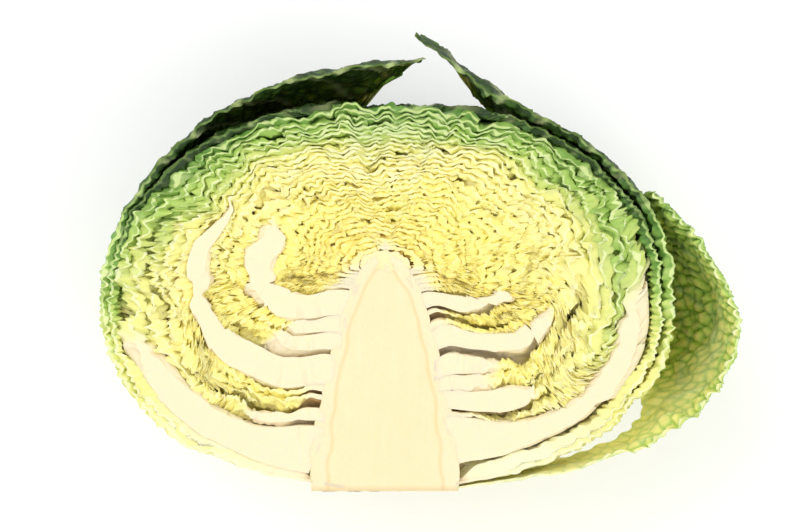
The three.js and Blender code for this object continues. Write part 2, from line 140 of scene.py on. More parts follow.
def chance(n, k):
    x = math.sin(n * 12.9898 + k * 78.233) * 43758.5453
    return x - math.floor(x)


class Leaf:
    def __init__(self, name, midrib, tip, spread, size, rib, rib_end=OUTER_RIB_END, lift=(0, 0, 1), blunt=2):
        self.name = name
        self.midrib, self.tip, self.spread = rad(midrib), rad(tip), rad(spread)
        self.c, self.s = math.cos(self.midrib), math.sin(self.midrib)
        self.size, self.rib, self.rib_end, self.blunt = size, rib, (rad(rib_end[0]), rad(rib_end[1])), blunt
        self.lift_by, self.lift_from, self.lift_bend = lift[0], rad(lift[1]), lift[2]

    def direction(self, along, across):
        ca, sa = np.cos(across), np.sin(across)
        return np.stack(
            [
                ca * self.c * np.sin(along) - sa * self.s,
                -ca * np.cos(along),
                -ca * self.s * np.sin(along) - sa * self.c,
            ],
            -1,
        )

    def angles(self, d):
        across = np.arcsin(np.clip(-d[..., 0] * self.s - d[..., 2] * self.c, -1, 1))
        along = np.arctan2(d[..., 0] * self.c - d[..., 2] * self.s, -d[..., 1])
        return np.where(along < -rad(60), along + TAU, along), across

    def half_spread(self, along):
        rise = np.sin(np.clip(along / rad(75), 0, 1) * (math.pi / 2)) ** 1.5
        past = np.clip((along - rad(WIDEST_AT)) / (self.tip - rad(WIDEST_AT)), 0, 1)
        return self.spread * rise * np.sqrt(1 - past**self.blunt)

    def inside(self, along, across):
        return np.minimum(self.half_spread(along) - np.abs(across), self.tip - along)

    def rib_at(self, along, across):
        taper = 1 - RIB_TAPER * smooth(along, rad(30), rad(100))
        fade = smooth(along, rad(-5), rad(5)) * taper * (1 - smooth(along, *self.rib_end))
        half_width = MIDRIB_HALF_WIDTH * (0.4 + 0.6 * fade) * lerp(0.45, 1, self.size)
        sideways = HALF_WIDTH * self.size * across / half_width
        return fade * np.exp(-sideways * sideways)

    def thickness(self, along, across):
        return BLADE * lerp(0.8, 1, self.size) + self.rib * self.rib_at(along, across)

    def cover(self, along, across):
        return lerp(SQUEEZED, 1, smooth(self.inside(along, across), -rad(MARGIN_RAMP), 0))


def head_leaf(n):
    size = 1 - (1 - BUD_SHARE) * (n + 0.5) / HEAD_LEAVES
    tip = lerp(SHORTEST_TIP, LONGEST_TIP, chance(n, 1))
    usual = (FIRST_MIDRIB + n * GOLDEN_ANGLE, SMALL_MIDRIB * lerp(0.3, 1, size), *RIB_END)
    midrib, rib, runs_out, ends = STOUT_MIDRIBS.get(n + 1, usual)
    return Leaf("head_leaf_%02d" % (n + 1), midrib, tip, LEAF_SPREAD, size, rib, (runs_out, ends))


HEAD = [head_leaf(n) for n in range(HEAD_LEAVES)]
OUTER = [
    Leaf("outer_leaf_back_left", 128, 170, 78, 1, OUTER_MIDRIB),
    Leaf("outer_leaf_back_right", 47, 166, 78, 1, OUTER_MIDRIB),
    Leaf("outer_leaf_left", 196, 187, 80, 1, OUTER_MIDRIB, lift=(15, 118, 1.4), blunt=7),
    Leaf("outer_leaf_top_right", -20, 176, 74, 1, OUTER_MIDRIB, lift=(22, 128, 3.5)),
    Leaf("outer_leaf_back", 92, 148, 74, 1, OUTER_MIDRIB),
]
LOOSE_LEAF = np.array(
    [
        # degrees up from the stem, degrees round the back to its margin, distance off the head
        [14, 20, 0.3],
        [24, 30, 1],
        [34, 22, 3.5],
        [44, 14, 9],
        [53, 12, 14],
        [62, 16, 18.5],
        [72, 34, 22],
        [83, 52, 22.5],
        [94, 59, 18],
        [104, 54, 11.5],
        [113, 40, 4.5],
        [120, 22, 1.2],
    ],
    float,
)
LOOSE_CLOSING = ([50, 65, 76, 88], [22, 25, 48, 85])  # degrees up, degrees round the back where it comes home


def shell_point(size, d):
    size = np.asarray(size, float)
    low = lerp(*LOW_ROUNDNESS, np.minimum(size, 1) ** 2)
    power = np.where(d[..., 1] < 0, low, ROUNDNESS)
    on_face = (np.abs(d[..., 0]) ** power + np.abs(d[..., 1]) ** power) ** (BACK_ROUNDNESS / power)
    reach = (on_face + np.abs(d[..., 2]) ** BACK_ROUNDNESS) ** (-1 / BACK_ROUNDNESS)
    middle = lerp(HEART_HEIGHT, WIDEST_HEIGHT, size)
    tall = np.where(d[..., 1] > 0, CROWN * size, SKIRT * np.maximum(size, 0) ** SKIRT_CURVE)
    return np.stack(
        [
            HALF_WIDTH * size * reach * d[..., 0],
            middle + tall * reach * d[..., 1],
            DEPTH * size * reach * d[..., 2],
        ],
        -1,
    )


def shell_depths(d):
    """How far out the shells lie in directions d (N, 3), in millimetres: (N, DEPTH_STEPS + 1)."""
    points = shell_point(np.linspace(0, 1, DEPTH_STEPS + 1)[None, :], d[:, None, :])
    steps = np.linalg.norm(np.diff(points, axis=1), axis=-1)
    return np.concatenate([np.zeros((len(d), 1)), np.cumsum(steps, 1)], 1)


def size_at(depths, depth):
    """The sizes of the shells that lie so far out."""
    size = np.zeros(len(depth))
    for k in range(DEPTH_STEPS):
        share = (depth - depths[:, k]) / (depths[:, k + 1] - depths[:, k])
        top = 1 if k < DEPTH_STEPS - 1 else 2
        size += np.clip(share, 0, top)
    return np.maximum(size, 0.2) / DEPTH_STEPS


def head_stack(d, depths):
    """In directions d (N, 3): each head leaf's middle, room and rib in millimetres, and its cover."""
    cover, thick, rib = [], [], []
    for leaf in HEAD:
        along, across = leaf.angles(d)
        cover.append(leaf.cover(along, across))
        thick.append(leaf.thickness(along, across))
        rib.append(leaf.rib * leaf.rib_at(along, across))
    cover, thick, rib = np.array(cover), np.array(thick), np.array(rib)
    room = depths[:, -1] - depths[:, round(DEPTH_STEPS * BUD_SHARE)]
    solid = (cover * thick).sum(0)
    squeeze = np.minimum(1, MOST_FILLED * room / solid)
    gap = (room - solid * squeeze) / cover.sum(0)
    slot = cover * (thick * squeeze + gap)
    middle = depths[:, -1] - np.cumsum(slot, 0) + slot / 2
    return middle, slot, rib * cover * squeeze, cover


def bounds_of(n, middles, slots, cover, outline):
    """How far leaf n may swell inwards and outwards: halfway over the room that absent leaves left."""
    low, high = middles[n] - slots[n] / 2, middles[n] + slots[n] / 2
    outer, found = outline.copy(), np.zeros(len(outline), bool)
    for m in range(n - 1, -1, -1):
        here = (cover[m] > 0.5) & ~found
        outer = np.where(here, middles[m] - slots[m] / 2, outer)
        found |= here
    inner, found = low.copy(), np.zeros(len(outline), bool)
    for m in range(n + 1, len(middles)):
        here = (cover[m] > 0.5) & ~found
        inner = np.where(here, middles[m] + slots[m] / 2, inner)
        found |= here
    return low - np.maximum(low - inner, 0) / 2, high + np.maximum(outer - high, 0) / 2


def smooth_line(points):
    """Many points along a smooth line through a few."""
    points = np.asarray(points, float)
    ends = np.concatenate([points[:1], points, points[-1:]])
    t = np.linspace(0, len(points) - 1, 100)
    k = np.minimum(t.astype(int), len(points) - 2)
    f = (t - k)[:, None]
    before, first, second, after = (ends[k + n] for n in range(4))
    leaving, arriving = (second - before) / 2, (after - first) / 2
    return (
        (2 * first - 2 * second + leaving + arriving) * f**3
        + (3 * second - 3 * first - 2 * leaving - arriving) * f**2
        + leaving * f
        + first
    )


def evenly(line):
    """Points spaced evenly along a line."""
    run = np.concatenate([[0], np.cumsum(np.linalg.norm(np.diff(line, axis=0), axis=1))])
    at = np.linspace(0, run[-1], LINE_POINTS)
    return np.stack([np.interp(at, run, line[:, 0]), np.interp(at, run, line[:, 1])], -1)


def rib_run(n):
    """The run of an unbent rib's middle on the cut face, from where it leaves the stalk."""
    leaf = HEAD[n]
    side = 1 if leaf.c > 0 else -1
    up = np.linspace(rad(RUN_START), sum(leaf.rib_end) / 2, RUN_STEPS)
    d = np.stack([side * np.sin(up), -np.cos(up), np.zeros(RUN_STEPS)], -1)
    depths = shell_depths(d)
    run = shell_point(size_at(depths, head_stack(d, depths)[0][n]), d)
    return run[stalk_gap(run) > 0, :2]


def still_points(size, reach):
    """Points of a shell on the cut face, so far to either side of the top."""
    side = rad(np.arange(-reach, reach + 0.1, STILL_SPACING))
    d = np.stack([np.sin(side), np.cos(side), np.zeros(len(side))], -1)
    return shell_point(np.full(len(side), size), d)[:, :2]


def bend_grid():
    """How far the shells are pushed over the cut face so that the stoutest ribs follow their lines."""
    runs = np.concatenate([evenly(rib_run(n - 1)) for n in RIB_LINES])
    lines = np.concatenate([evenly(smooth_line(line)) for line in RIB_LINES.values()])
    tips = np.array([(0.0, height) for height in STILL_TIPS])
    still = np.concatenate([still_points(1, OUTLINE_REACH), still_points(STILL_CROWN, CROWN_REACH), tips])
    here = np.concatenate([runs, still])
    moves = np.concatenate([lines - runs, np.zeros(still.shape)])
    apart = np.linalg.norm(here[:, None] - here[None], axis=-1)
    pull = np.exp(-((apart / BEND_REACH) ** 2))
    pushes = np.linalg.solve(pull + BEND_STIFFNESS * np.eye(len(here)), moves)
    x = np.arange(GRID_LEFT, GRID_RIGHT + 1, GRID_STEP)
    y = np.arange(GRID_LOW, GRID_HIGH + 1, GRID_STEP)
    grid = np.stack(np.meshgrid(x, y, indexing="ij"), -1)
    away = np.linalg.norm(grid[:, :, None] - here[None, None], axis=-1)
    return np.exp(-((away / BEND_REACH) ** 2)) @ pushes


def bent(p):
    """Moves points (..., 3) by the bend, which fades out behind the cut face."""
    rows, columns = BEND.shape[:2]
    u = np.clip((p[..., 0] - GRID_LEFT) / GRID_STEP, 0, rows - 1.001)
    v = np.clip((p[..., 1] - GRID_LOW) / GRID_STEP, 0, columns - 1.001)
    i, j = u.astype(int), v.astype(int)
    u, v = (u - i)[..., None], (v - j)[..., None]
    left = lerp(BEND[i, j], BEND[i, j + 1], v)
    right = lerp(BEND[i + 1, j], BEND[i + 1, j + 1], v)
    fade = np.exp(-((p[..., 2] / BEND_DEPTH) ** 2))[..., None]
    moved = p.copy()
    moved[..., :2] += lerp(left, right, u) * fade
    return moved


def outer_offsets(d):
    """The outer leaves' inner and outer faces, in millimetres off the head, and the room outside them."""
    up = np.arccos(np.clip(-d[..., 1], -1, 1))
    crowd = lerp(FOOT_CROWDING, 1, smooth(up, rad(12), rad(50)))
    base = np.full(up.shape, 0.8)
    lift = np.zeros(up.shape)
    faces = []
    for leaf in OUTER:
        along, across = leaf.angles(d)
        cover = leaf.cover(along, across)
        thick = cover * leaf.thickness(along, across)
        gap = cover * OUTER_SLOT
        bent_part = np.clip((along - leaf.lift_from) / (leaf.tip - leaf.lift_from), 0, 1)
        own = leaf.lift_by * bent_part**leaf.lift_bend
        lift = np.maximum(lift, cover * own * (1 - 0.8 * smooth(-d[..., 2], 0.05, 0.8)))
        inner = crowd * (base + gap / 2) + lift
        base = base + thick + gap
        faces.append((inner, inner + crowd * thick))
    return faces, crowd * base + lift


# ---- Noise ----
def waves(p, wavelength, seed, count=9):
    """Smooth noise, about -1 to 1, as a sum of plane waves."""
    r = np.random.default_rng(seed)
    k = r.normal(size=(count, p.shape[-1]))
    k /= np.linalg.norm(k, axis=1)[:, None]
    k *= (TAU / wavelength) * r.uniform(0.75, 1.3, count)[:, None]
    phase = r.uniform(0, TAU, count)
    total = np.zeros(p.shape[:-1])
    for i in range(count):
        total += np.cos(p @ k[i] + phase[i])
    return np.tanh(total * math.sqrt(2 / count) * 0.75)


def cells(s, t, cell, seed):
    """Cellular noise: 0 on the net of cell walls, 1 on the cells."""
    u, v = s / cell, t / cell
    iu, iv = np.floor(u), np.floor(v)
    first = np.full(u.shape, 9.0)
    second = np.full(u.shape, 9.0)
    for a in (-1, 0, 1):
        for b in (-1, 0, 1):
            cu, cv = iu + a, iv + b
            h1 = np.sin(cu * 127.1 + cv * 311.7 + seed * 74.7) * 43758.5453
            h2 = np.sin(cu * 269.5 + cv * 183.3 + seed * 19.3) * 43758.5453
            pu = cu + 0.12 + 0.76 * (h1 - np.floor(h1))
            pv = cv + 0.12 + 0.76 * (h2 - np.floor(h2))
            gap = np.hypot(pu - u, pv - v)
            second = np.minimum(second, np.maximum(first, gap))
            first = np.minimum(first, gap)
    dome = np.clip((second - first) / 0.8, 0, 1)
    return 1 - (1 - dome) ** 2


def side_veins(s, t, spacing):
    """1 on the side veins, which leave the midrib by turns and climb outwards."""
    climb = s - 0.95 * np.abs(t) + np.where(t > 0, 0.5, 0.0) * spacing
    climb = climb + 1.6 * np.sin(t / 9.0) + 3.2 * np.sin(s / 17.0 + t / 23.0)
    climb = climb + 1.5 * np.sin(t / 5.3 - s / 11.0)
    away = np.abs(climb / spacing - np.round(climb / spacing)) * spacing
    width = 1.5 * np.exp(-np.abs(t) / 60) + 0.35
    return np.exp(-((away / width) ** 2)) * np.exp(-np.abs(t) / 55)


CENTRE = np.array([0.0, 76.0, 0.0])
CRINKLES = [
    # wavelength, height across the leaves, shift along them, seed
    (21.0, 1.3, 1.1, 11),
    (9.5, 1.1, 0.8, 23),
    (5.2, 0.6, 0.4, 37),
]
RADIAL = 0.62  # how much slower the crinkles change from leaf to leaf than along a leaf


def crinkle(p, strength):
    """Moves points (N, 3) by smooth warps that never fold space, so that nested leaves stay nested."""
    for wavelength, height, shift, seed in CRINKLES:
        arm = p - CENTRE
        r = np.maximum(np.linalg.norm(arm, axis=-1), 1.0)
        outwards = arm / r[:, None]
        q = outwards * (r**RADIAL * 90 ** (1 - RADIAL))[:, None]
        scale = strength * np.minimum(r / 90, 1.0) ** 0.5
        p = p + outwards * (height * scale * waves(q, wavelength, seed, 12))[:, None]
        for axis in range(3):
            p[:, axis] += shift * scale * waves(q, wavelength * 1.1, seed + 100 + axis, 6)
    return p


# ---- Meshes ----
def closed_sheet(inner, outer, kept):
    """A closed mesh from two grids of points (I, J, 3): the kept quads of both, and a rim round them."""
    i, j = np.nonzero(kept)
    columns = inner.shape[1]
    a = i * columns + j
    quads = np.stack([a, a + 1, a + 1 + columns, a + columns], 1)
    used, flat = np.unique(quads, return_inverse=True)
    quads = flat.reshape(quads.shape)
    count = len(used)
    edges = np.concatenate([quads[:, [k, (k + 1) % 4]] for k in range(4)])
    forward = edges[:, 0].astype(np.int64) * count + edges[:, 1]
    backward = edges[:, 1].astype(np.int64) * count + edges[:, 0]
    rim = edges[~np.isin(forward, backward)]
    rims = np.stack([rim[:, 1], rim[:, 0], rim[:, 0] + count, rim[:, 1] + count], 1)
    faces = np.concatenate([quads, quads[:, ::-1] + count, rims])
    points = np.concatenate([outer.reshape(-1, 3)[used], inner.reshape(-1, 3)[used]])
    return points, faces, used


def mesh_from(name, points, faces, attributes):
    mesh = bpy.data.meshes.new(name)
    mesh.vertices.add(len(points))
    mesh.vertices.foreach_set("co", np.ascontiguousarray(points, np.float32).ravel())
    mesh.loops.add(faces.size)
    mesh.loops.foreach_set("vertex_index", np.ascontiguousarray(faces, np.int32).ravel())
    mesh.polygons.add(len(faces))
    mesh.polygons.foreach_set("loop_start", np.arange(0, faces.size, faces.shape[1], dtype=np.int32))
    mesh.update(calc_edges=True)
    for key, values in attributes.items():
        attribute = mesh.attributes.new(key, "FLOAT", "POINT")
        attribute.data.foreach_set("value", np.ascontiguousarray(values, np.float32))
    return mesh


def relief(x, y, seed):
    """How far the knife left the tissue below its plane, in millimetres."""
    p = np.stack([x, y], -1)
    return 0.34 + 0.26 * waves(p, 5.5, seed) + 0.1 * waves(p, 2.4, seed + 1)


SHALLOWEST_CUT = 0.03  # millimetres by which every cut lies below the plane


def knife(mesh, seed):
    """Cuts the mesh by the plane of the cut face and closes it there with a face of its own material."""
    bm = bmesh.new()
    bm.from_mesh(mesh)
    geometry = bm.verts[:] + bm.edges[:] + bm.faces[:]
    cut = bmesh.ops.bisect_plane(
        bm, geom=geometry, dist=1e-5, plane_co=(0, 0, 0), plane_no=(0, 0, 1), clear_outer=True
    )
    edges = [e for e in cut["geom_cut"] if isinstance(e, bmesh.types.BMEdge) and e.is_boundary]
    if edges:
        filled = bmesh.ops.triangle_fill(bm, use_beauty=True, edges=edges, normal=(0, 0, 1))
        for face in filled["geom"]:
            if isinstance(face, bmesh.types.BMFace):
                face.material_index = 1
        rim = list({v for e in edges for v in e.verts})
        if rim:
            x = np.array([v.co.x for v in rim])
            y = np.array([v.co.y for v in rim])
            layer = bm.verts.layers.float["rib"]
            rib = np.array([v[layer] for v in rim])
            down = relief(x, y, seed) * (1 - 0.8 * np.clip(rib, 0, 1))
            down *= smooth(stalk_gap(np.stack([x, y, 0 * x], -1)), 3, 9)
            for v, z in zip(rim, down):
                v.co.z = -z - SHALLOWEST_CUT
    bm.to_mesh(mesh)
    bm.free()


def stalk_gap(p):
    """How far points lie outside the stalk, in millimetres, negative within it."""
    radius = np.interp(p[..., 1], STALK_PROFILE[:, 1], STALK_PROFILE[:, 0])
    past = np.maximum(p[..., 1] - STALK_PROFILE[-1, 1], 0)
    return np.hypot(p[..., 0], p[..., 2]) - radius + past


BEND = bend_grid()


LOWEST_POINT = 0.00002  # metres; nothing goes below the surface that the half rests on
SHARPEST_SMOOTH = 52  # degrees between two faces that are still shaded as one


def piece(name, mesh, materials):
    """Brings a mesh from the head frame to the part's frame and hands it over for the node of that name."""
    buffer = np.zeros(len(mesh.vertices) * 3, np.float32)
    mesh.vertices.foreach_get("co", buffer)
    points = buffer.reshape(-1, 3) * MM + ORIGIN.astype(np.float32)
    points[:, 2] = np.maximum(points[:, 2], LOWEST_POINT)
    mesh.vertices.foreach_set("co", np.ascontiguousarray(points, np.float32).ravel())
    for material in materials:
        mesh.materials.append(material)
    mesh.polygons.foreach_set("use_smooth", np.ones(len(mesh.polygons), bool))
    mesh.set_sharp_from_angle(angle=rad(SHARPEST_SMOOTH))
    mesh.update()
    obj = bpy.data.objects.new(name + "_grown", mesh)
    bpy.context.scene.collection.objects.link(obj)
    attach(obj, "root")
    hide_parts(name)


# ---- Camera and light ----
VIEW_WIDTH = 0.288  # metres across the view at the cut face
LENS, SENSOR = 90.0, 36.0
VIEW_RIGHT, VIEW_UP = 0.0054, 0.081  # the middle of the view, from the middle of the stalk's cut end
camera = bpy.data.objects.new("camera", bpy.data.cameras.new("camera"))
camera.data.lens = LENS
camera.data.sensor_width = SENSOR
camera.location = ORIGIN + np.array([VIEW_RIGHT, VIEW_UP, VIEW_WIDTH * LENS / SENSOR])
camera.rotation_euler = (0, 0, 0)
bpy.context.scene.collection.objects.link(camera)
bpy.context.scene.camera = camera

scene = bpy.context.scene
scene.view_settings.view_transform = "Standard"
scene.view_settings.look = "None"
scene.view_settings.exposure = 0
world = bpy.data.worlds.new("studio")
scene.world = world
world.use_nodes = True
world.node_tree.nodes["Background"].inputs["Color"].default_value = (1, 1, 1, 1)
world.node_tree.nodes["Background"].inputs["Strength"].default_value = 0.9


LIT_POINT = Vector((0, 0, 0.06))  # what both lamps are aimed at


def lamp(name, place, power, size):
    light = bpy.data.lights.new(name, "AREA")
    light.energy, light.size = power, size
    obj = bpy.data.objects.new(name, light)
    obj.location = place
    aim = LIT_POINT - Vector(place)
    obj.rotation_euler = aim.to_track_quat("-Z", "Y").to_euler()
    scene.collection.objects.link(obj)


lamp("key", (-0.55, 0.55, 1.1), 5.6, 0.9)
lamp("fill", (0.7, -0.4, 1.0), 3.2, 0.9)


# ---- Materials ----
def linear(r, g, b):
    """A screen colour, 0 to 255, as the linear colour that materials take."""

    def one(v):
        v /= 255
        return v / 12.92 if v <= 0.04045 else ((v + 0.055) / 1.055) ** 2.4

    return (one(r), one(g), one(b), 1.0)


class Nodes:
    """Small helper that adds and joins shader nodes."""

    def __init__(self, name):
        self.material = bpy.data.materials.new(name)
        self.material.use_nodes = True
        self.tree = self.material.node_tree
        self.shader = self.tree.nodes["Principled BSDF"]

    def add(self, kind, **inputs):
        node = self.tree.nodes.new(kind)
        for key, value in inputs.items():
            self.put(node, key.replace("_", " "), value)
        return node

    def put(self, node, key, value):
        socket = node.inputs[int(key) if key.isdigit() else key]
        if isinstance(value, bpy.types.NodeSocket):
            self.tree.links.new(value, socket)
        else:
            socket.default_value = value

    def attribute(self, name):
        node = self.tree.nodes.new("ShaderNodeAttribute")
        node.attribute_name = name
        return node.outputs["Fac"]

    def place(self):
        return self.tree.nodes.new("ShaderNodeTexCoord").outputs["Object"]

    def noise(self, scale, detail=3.0, rough=0.55, vector=None):
        node = self.add("ShaderNodeTexNoise", Scale=scale, Detail=detail, Roughness=rough)
        self.put(node, "Vector", vector or self.place())
        return node.outputs["Fac"]

    def math(self, kind, a, b=0.0, clamp=False):
        node = self.tree.nodes.new("ShaderNodeMath")
        node.operation, node.use_clamp = kind, clamp
        self.put(node, "0", a)
        self.put(node, "1", b)
        return node.outputs[0]

    def ramp(self, value, stops):
        node = self.tree.nodes.new("ShaderNodeValToRGB")
        node.color_ramp.interpolation = "LINEAR"
        elements = node.color_ramp.elements
        while len(elements) < len(stops):
            elements.new(0.5)
        for element, (position, colour) in zip(elements, stops):
            element.position, element.color = position, colour
        self.put(node, "Fac", value)
        return node.outputs["Color"]

    def mix(self, share, a, b):
        node = self.tree.nodes.new("ShaderNodeMix")
        node.data_type = "RGBA"
        self.put(node, "0", share)
        self.put(node, "6", a)
        self.put(node, "7", b)
        return node.outputs[2]

    def bump(self, height, strength, distance):
        node = self.add("ShaderNodeBump", Height=height, Strength=strength, Distance=distance)
        self.put(self.shader, "Normal", node.outputs["Normal"])


LEAF_TINTS = [
    (0.00, linear(255, 236, 134)),
    (0.22, linear(255, 242, 142)),
    (0.40, linear(254, 243, 160)),
    (0.55, linear(234, 232, 140)),
    (0.70, linear(172, 202, 100)),
    (0.84, linear(104, 150, 64)),
    (1.00, linear(34, 60, 12)),
]
CUT_TINTS = [
    (0.00, linear(253, 236, 158)),
    (0.22, linear(254, 240, 160)),
    (0.40, linear(252, 242, 182)),
    (0.55, linear(240, 240, 180)),
    (0.70, linear(214, 228, 158)),
    (0.84, linear(182, 206, 122)),
    (1.00, linear(80, 108, 42)),
]
CREAM = linear(241, 227, 191)
PALE = linear(238, 240, 214)
# brown used as painted shade in the slits between the leaf feet by the stalk
SLIT_SHADE_BROWN = linear(176, 128, 66)
VEIN = linear(206, 218, 150)
PITH_MIDDLE, RIND = linear(241, 222, 178), linear(241, 224, 184)
PITH_CLOUD, PITH_FIBRE = linear(237, 217, 168), linear(245, 231, 196)
BUNDLE, STALK_SKIN, DRY = linear(222, 190, 122), linear(214, 208, 158), linear(206, 178, 122)


def leaf_material(name, tints, moist):
    n = Nodes(name)
    patch = n.math("SUBTRACT", n.noise(60.0, 4.0), 0.5)
    speck = n.math("SUBTRACT", n.noise(420.0, 3.0), 0.5)
    green = n.math("ADD", n.attribute("green"), n.math("MULTIPLY", patch, 0.16))
    green = n.math("ADD", green, n.math("MULTIPLY", speck, 0.10), True)
    colour = n.ramp(green, tints)
    vein = n.math("MULTIPLY", n.attribute("vein"), 0.5, True)
    colour = n.mix(vein, colour, VEIN)
    colour = n.mix(n.attribute("pale"), colour, PALE)
    colour = n.mix(n.attribute("rib"), colour, CREAM)
    # painted shade: brown over the hidden leaf faces in the slits near the stalk
    painted_slit_shade = n.math("MULTIPLY", n.attribute("painted_slit_shade"), 0.35 if moist else 0.8, True)
    colour = n.mix(painted_slit_shade, colour, SLIT_SHADE_BROWN)
    n.put(n.shader, "Base Color", colour)
    n.put(n.shader, "Roughness", 0.42 if moist else 0.5)
    n.shader.inputs["Specular IOR Level"].default_value = 0.35
    n.shader.inputs["Subsurface Weight"].default_value = 0.35
    n.shader.inputs["Subsurface Radius"].default_value = (0.0025, 0.0021, 0.001)
    n.shader.inputs["Subsurface Scale"].default_value = 1.0
    n.bump(n.noise(900.0 if moist else 700.0, 4.0, 0.6), 0.35, 0.0004)
    return n.material


FACE = leaf_material("leaf_face", LEAF_TINTS, False)
CUT = leaf_material("leaf_cut", CUT_TINTS, True)


def pith_material():
    n = Nodes("pith")
    place = n.place()
    stretch = n.tree.nodes.new("ShaderNodeMapping")
    stretch.inputs["Scale"].default_value = (420, 60, 420)
    n.put(stretch, "Vector", place)
    fibre = n.noise(1.0, 4.0, 0.6, stretch.outputs["Vector"])
    cloud = n.noise(45.0, 3.0)
    cloudy = n.math("MULTIPLY", n.math("SUBTRACT", cloud, 0.4), 0.9, True)
    fibrous = n.math("MULTIPLY", n.math("SUBTRACT", fibre, 0.5), 1.1, True)
    colour = n.ramp(n.attribute("pith"), [(0.0, RIND), (1.0, PITH_MIDDLE)])
    colour = n.mix(cloudy, colour, PITH_CLOUD)
    colour = n.mix(fibrous, colour, PITH_FIBRE)
    colour = n.mix(n.attribute("bundle"), colour, BUNDLE)
    colour = n.mix(n.attribute("skin"), colour, STALK_SKIN)
    colour = n.mix(n.attribute("dry"), colour, DRY)
    n.put(n.shader, "Base Color", colour)
    n.put(n.shader, "Roughness", 0.46)
    n.shader.inputs["Specular IOR Level"].default_value = 0.35
    n.shader.inputs["Subsurface Weight"].default_value = 0.15
    n.shader.inputs["Subsurface Radius"].default_value = (0.004, 0.003, 0.0012)
    n.shader.inputs["Subsurface Scale"].default_value = 0.5
    n.bump(fibre, 0.3, 0.0004)
    return n.material


PITH = pith_material()

# ---- Head leaves ----
CELL = 0.62  # of the grids that leaves are grown on, in millimetres
SMALLEST_CELL = 0.42
GRID_RADIUS, LEAF_RADIUS = 88.0, 90.0  # by which angles on a leaf of size 1 become lengths
LEAF_FOOT, TIP_MARGIN = rad(4), rad(0.4)
FINE_DEPTH, NEAREST, FARTHEST = 6.0, 5.0, 400.0
COARSE_STEP, GRID_OVERLAP = 4, 2.5
SWAY = 0.5  # how far a blade sways in its room, as a share of it
BURIED = -2.5  # leaves aren't grown further than this into the stalk
GREEN_SIZES = [0.1, 0.3, 0.5, 0.66, 0.78, 0.9, 1.0]
GREEN_AT_TIP = [0.02, 0.12, 0.26, 0.42, 0.58, 0.74, 0.86]
# A fine grid near the cut and a coarse one behind it: the step, and the heights it lies between.
GRIDS = ((1, NEAREST, -FINE_DEPTH), (COARSE_STEP, GRID_OVERLAP - FINE_DEPTH, -FARTHEST))


def greenness(size, along):
    """How green a leaf of this size is at a place along it: the heart is yellow, tips are greener."""
    at_tip = np.interp(size, GREEN_SIZES, GREEN_AT_TIP)
    return at_tip * lerp(0.45, 1.0, smooth(along, rad(58), rad(140)))


def leaf_grid(leaf):
    """A grid over a head leaf: the angles along and across it, and the directions."""
    cell = max(CELL * leaf.size**0.4, SMALLEST_CELL)
    radius = GRID_RADIUS * leaf.size
    rows = int((leaf.tip - LEAF_FOOT) * radius / cell) + 2
    columns = int(2 * leaf.spread * radius / cell) + 2
    along = np.linspace(LEAF_FOOT, leaf.tip - TIP_MARGIN, rows)
    across = leaf.half_spread(along)[:, None] * np.linspace(-1, 1, columns)[None, :]
    along = np.repeat(along[:, None], columns, 1)
    return along, across, leaf.direction(along, across)


def whole_quads(ok):
    """Which quads of a grid have all four corners."""
    return ok[:-1, :-1] & ok[1:, :-1] & ok[:-1, 1:] & ok[1:, 1:]


def corners_of(quads, shape):
    """Which points of a grid are corners of these quads."""
    corners = np.zeros(shape, bool)
    for rows in (slice(None, -1), slice(1, None)):
        for columns in (slice(None, -1), slice(1, None)):
            corners[rows, columns] |= quads
    return corners


def on_grid(need, values):
    """Values at the needed points, put back on the grid."""
    grid = np.zeros(need.shape + values.shape[1:], values.dtype)
    grid[need] = values
    return grid


